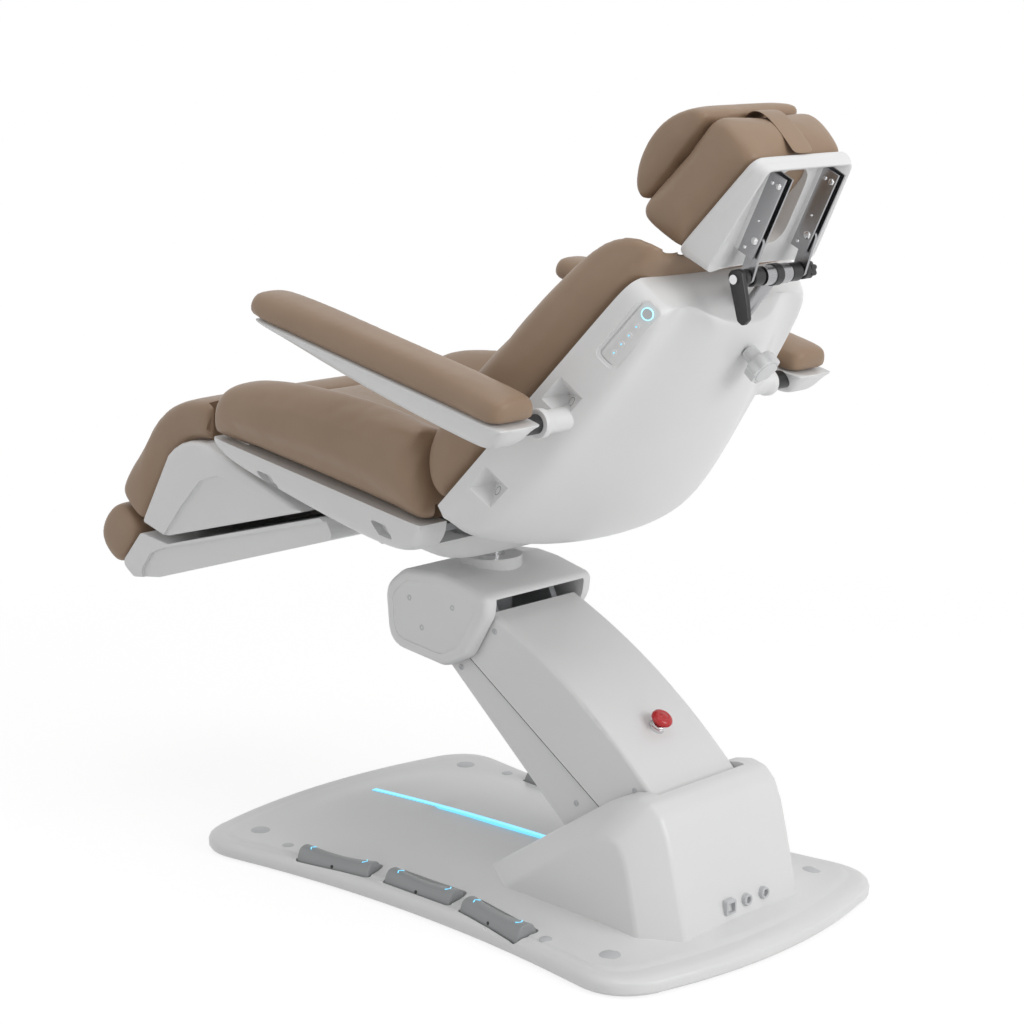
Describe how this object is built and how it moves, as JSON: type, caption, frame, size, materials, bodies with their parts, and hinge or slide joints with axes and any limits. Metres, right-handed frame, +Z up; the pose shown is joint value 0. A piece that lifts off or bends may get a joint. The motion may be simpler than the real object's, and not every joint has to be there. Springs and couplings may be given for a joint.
{
  "type": "spa treatment chair",
  "caption": "Electric spa treatment chair: padded seat, reclining back, leg and foot rest, swivelling on a parallel lift arm over a pedal base.",
  "frame": {"origin": "centre of the base's underside, on the floor", "axes": "+Y from the foot end to the head end, +X to the sitter's left, +Z up"},
  "size_m": [0.798, 1.4029, 1.2785],
  "materials": {
    "leatherette": "brown satin leatherette",
    "white_shell": "white satin plastic",
    "frame_steel": "grey powder coat",
    "bright_steel": "brushed stainless",
    "dark_plastic": "black moulded plastic",
    "pedal_grey": "dark grey moulded plastic",
    "stop_red": "glossy red",
    "light_cyan": "cyan light diffuser",
    "key_white": "pale glossy keys"
  },
  "bodies": {
    "base": {"base_frame": "frame_steel", "base_pan": "white_shell", "base_dome": "white_shell", "tower_cover": "white_shell", "led_strip": "light_cyan", "levelling_feet": "dark_plastic", "rear_ports": "dark_plastic", "pivot_pins": "bright_steel"},
    "arm": {"arm_frame": "frame_steel", "arm_cover": "white_shell", "estop_collar": "bright_steel", "lift_actuator": "dark_plastic"},
    "estop": {"estop_button": "stop_red"},
    "link": {"link_bar": "frame_steel", "link_cover": "white_shell"},
    "knuckle": {"knuckle_housing": "white_shell", "knuckle_frame": "frame_steel", "knuckle_pins": "bright_steel", "swivel_bearing": "white_shell"},
    "swivel": {"swivel_post": "frame_steel"},
    "seat": {"seat_frame": "frame_steel", "seat_pan": "white_shell", "seat_cushion": "leatherette", "seat_pins": "bright_steel", "seat_actuators": "dark_plastic"},
    "lock_pull": {"swivel_lock_ring": "bright_steel"},
    "back": {"back_frame": "frame_steel", "back_shell": "white_shell", "back_cushion": "leatherette", "control_panel": "white_shell", "arm_pivots": "dark_plastic"},
    "key_ring": {"button_ring": "key_white"},
    "key_1": {"button_1": "key_white"},
    "key_2": {"button_2": "key_white"},
    "key_3": {"button_3": "key_white"},
    "key_4": {"button_4": "key_white"},
    "star_knob": {"headrest_knob": "white_shell"},
    "rest_left": {"arm_shell_left": "white_shell", "arm_pad_left": "leatherette"},
    "rest_right": {"arm_shell_right": "white_shell", "arm_pad_right": "leatherette"},
    "leg": {"leg_shell": "white_shell", "leg_cushion": "leatherette"},
    "foot": {"foot_shell": "white_shell", "foot_cushion": "leatherette", "foot_rails": "bright_steel"},
    "head_slide": {"head_post": "bright_steel", "head_rod": "bright_steel"},
    "clamp_lever": {"head_lever": "dark_plastic"},
    "head_link": {"head_links": "bright_steel"},
    "head": {"head_channels": "bright_steel", "head_shell": "white_shell", "head_cushion": "leatherette", "head_pillow": "leatherette"},
    "pedal_left_1": {"pedal_left_1": "pedal_grey"},
    "pedal_left_2": {"pedal_left_2": "pedal_grey"},
    "pedal_left_3": {"pedal_left_3": "pedal_grey"},
    "pedal_right_1": {"pedal_right_1": "pedal_grey"},
    "pedal_right_2": {"pedal_right_2": "pedal_grey"},
    "pedal_right_3": {"pedal_right_3": "pedal_grey"}
  },
  "joints": [
    {"name": "pedal_left_1_rock", "type": "hinge", "parent": "base", "child": "pedal_left_1", "pos_m": [0.268, -0.184, 0.024], "axis": [0.9882, 0.153, 0], "range_deg": [-4, 4], "stiffness_Nm_per_rad": 20},
    {"name": "pedal_left_2_rock", "type": "hinge", "parent": "base", "child": "pedal_left_2", "pos_m": [0.252, 0.003, 0.024], "axis": [1, 0, 0], "range_deg": [-4, 4], "stiffness_Nm_per_rad": 20},
    {"name": "pedal_left_3_rock", "type": "hinge", "parent": "base", "child": "pedal_left_3", "pos_m": [0.268, 0.184, 0.024], "axis": [0.9882, -0.153, 0], "range_deg": [-4, 4], "stiffness_Nm_per_rad": 20},
    {"name": "pedal_right_1_rock", "type": "hinge", "parent": "base", "child": "pedal_right_1", "pos_m": [-0.268, -0.184, 0.024], "axis": [0.9882, -0.153, 0], "range_deg": [-4, 4], "stiffness_Nm_per_rad": 20},
    {"name": "pedal_right_2_rock", "type": "hinge", "parent": "base", "child": "pedal_right_2", "pos_m": [-0.252, 0.003, 0.024], "axis": [1, 0, 0], "range_deg": [-4, 4], "stiffness_Nm_per_rad": 20},
    {"name": "pedal_right_3_rock", "type": "hinge", "parent": "base", "child": "pedal_right_3", "pos_m": [-0.268, 0.184, 0.024], "axis": [0.9882, 0.153, 0], "range_deg": [-4, 4], "stiffness_Nm_per_rad": 20},
    {"name": "lift", "type": "hinge", "parent": "base", "child": "arm", "pos_m": [0, 0.325, 0.185], "axis": [-1, 0, 0], "range_deg": [-28, 15]},
    {"name": "lift_link", "type": "hinge", "parent": "base", "child": "link", "pos_m": [0, 0.249, 0.161], "axis": [-1, 0, 0], "range_deg": [-28.5, 15.5]},
    {"name": "knuckle_level", "type": "hinge", "parent": "arm", "child": "knuckle", "pos_m": [0, -0.03399, 0.42171], "axis": [-1, 0, 0], "range_deg": [-15.5, 28.5]},
    {"name": "estop_press", "type": "slide", "parent": "arm", "child": "estop", "axis": [0, -0.5505, -0.8348], "range_m": [0, 0.0035], "stiffness_N_per_m": 900},
    {"name": "swivel_turn", "type": "hinge", "parent": "knuckle", "child": "swivel", "pos_m": [0, -0.09, 0.5], "axis": [0, 0, 1], "range_deg": [-120, 120]},
    {"name": "seat_tilt", "type": "hinge", "parent": "swivel", "child": "seat", "pos_m": [0, -0.09, 0.6], "axis": [-1, 0, 0], "range_deg": [-8, 14]},
    {"name": "lock_pull_out", "type": "slide", "parent": "seat", "child": "lock_pull", "axis": [0, -0.1564, -0.9877], "range_m": [0, 0.006], "stiffness_N_per_m": 700},
    {"name": "back_recline", "type": "hinge", "parent": "seat", "child": "back", "pos_m": [0, 0.1, 0.748], "axis": [-1, 0, 0], "range_deg": [-20, 45]},
    {"name": "leg_raise", "type": "hinge", "parent": "seat", "child": "leg", "pos_m": [0, -0.551, 0.584], "axis": [-1, 0, 0], "range_deg": [0, 55]},
    {"name": "foot_extend", "type": "slide", "parent": "leg", "child": "foot", "axis": [0, -0.6046, -0.7965], "range_m": [0, 0.15]},
    {"name": "armrest_left_raise", "type": "hinge", "parent": "back", "child": "rest_left", "pos_m": [0.318, 0.27209, 0.83247], "axis": [-1, 0, 0], "range_deg": [-8, 85]},
    {"name": "armrest_right_raise", "type": "hinge", "parent": "back", "child": "rest_right", "pos_m": [-0.318, 0.27209, 0.83247], "axis": [-1, 0, 0], "range_deg": [-8, 85]},
    {"name": "headrest_height", "type": "slide", "parent": "back", "child": "head_slide", "axis": [0, 0.6494, 0.7604], "range_m": [0, 0.1]},
    {"name": "headrest_link", "type": "hinge", "parent": "head_slide", "child": "head_link", "pos_m": [0, 0.4893, 1.04675], "axis": [-1, 0, 0], "range_deg": [-8, 30]},
    {"name": "headrest_tilt", "type": "hinge", "parent": "head_link", "child": "head", "pos_m": [0, 0.509, 1.102], "axis": [-1, 0, 0], "range_deg": [-8, 20]},
    {"name": "clamp_lever_turn", "type": "hinge", "parent": "head_slide", "child": "clamp_lever", "pos_m": [0.083, 0.4893, 1.04675], "axis": [1, 0, 0], "range_deg": [0, 40]},
    {"name": "star_knob_turn", "type": "hinge", "parent": "back", "child": "star_knob", "pos_m": [0, 0.47414, 0.90583], "axis": [0, 0.7604, -0.6494], "continuous": true},
    {"name": "key_ring_press", "type": "slide", "parent": "back", "child": "key_ring", "axis": [-0.9389, -0.3381, 0.0636], "range_m": [0, 0.001], "stiffness_N_per_m": 500},
    {"name": "key_1_press", "type": "slide", "parent": "back", "child": "key_1", "axis": [-0.9389, -0.3381, 0.0636], "range_m": [0, 0.001], "stiffness_N_per_m": 500},
    {"name": "key_2_press", "type": "slide", "parent": "back", "child": "key_2", "axis": [-0.9389, -0.3381, 0.0636], "range_m": [0, 0.001], "stiffness_N_per_m": 500},
    {"name": "key_3_press", "type": "slide", "parent": "back", "child": "key_3", "axis": [-0.9389, -0.3381, 0.0636], "range_m": [0, 0.001], "stiffness_N_per_m": 500},
    {"name": "key_4_press", "type": "slide", "parent": "back", "child": "key_4", "axis": [-0.9389, -0.3381, 0.0636], "range_m": [0, 0.001], "stiffness_N_per_m": 500}
  ],
  "couplings": [
    {"joint": "lift_link", "follows": "lift", "ratio": 1},
    {"joint": "knuckle_level", "follows": "lift", "ratio": -1}
  ]
}
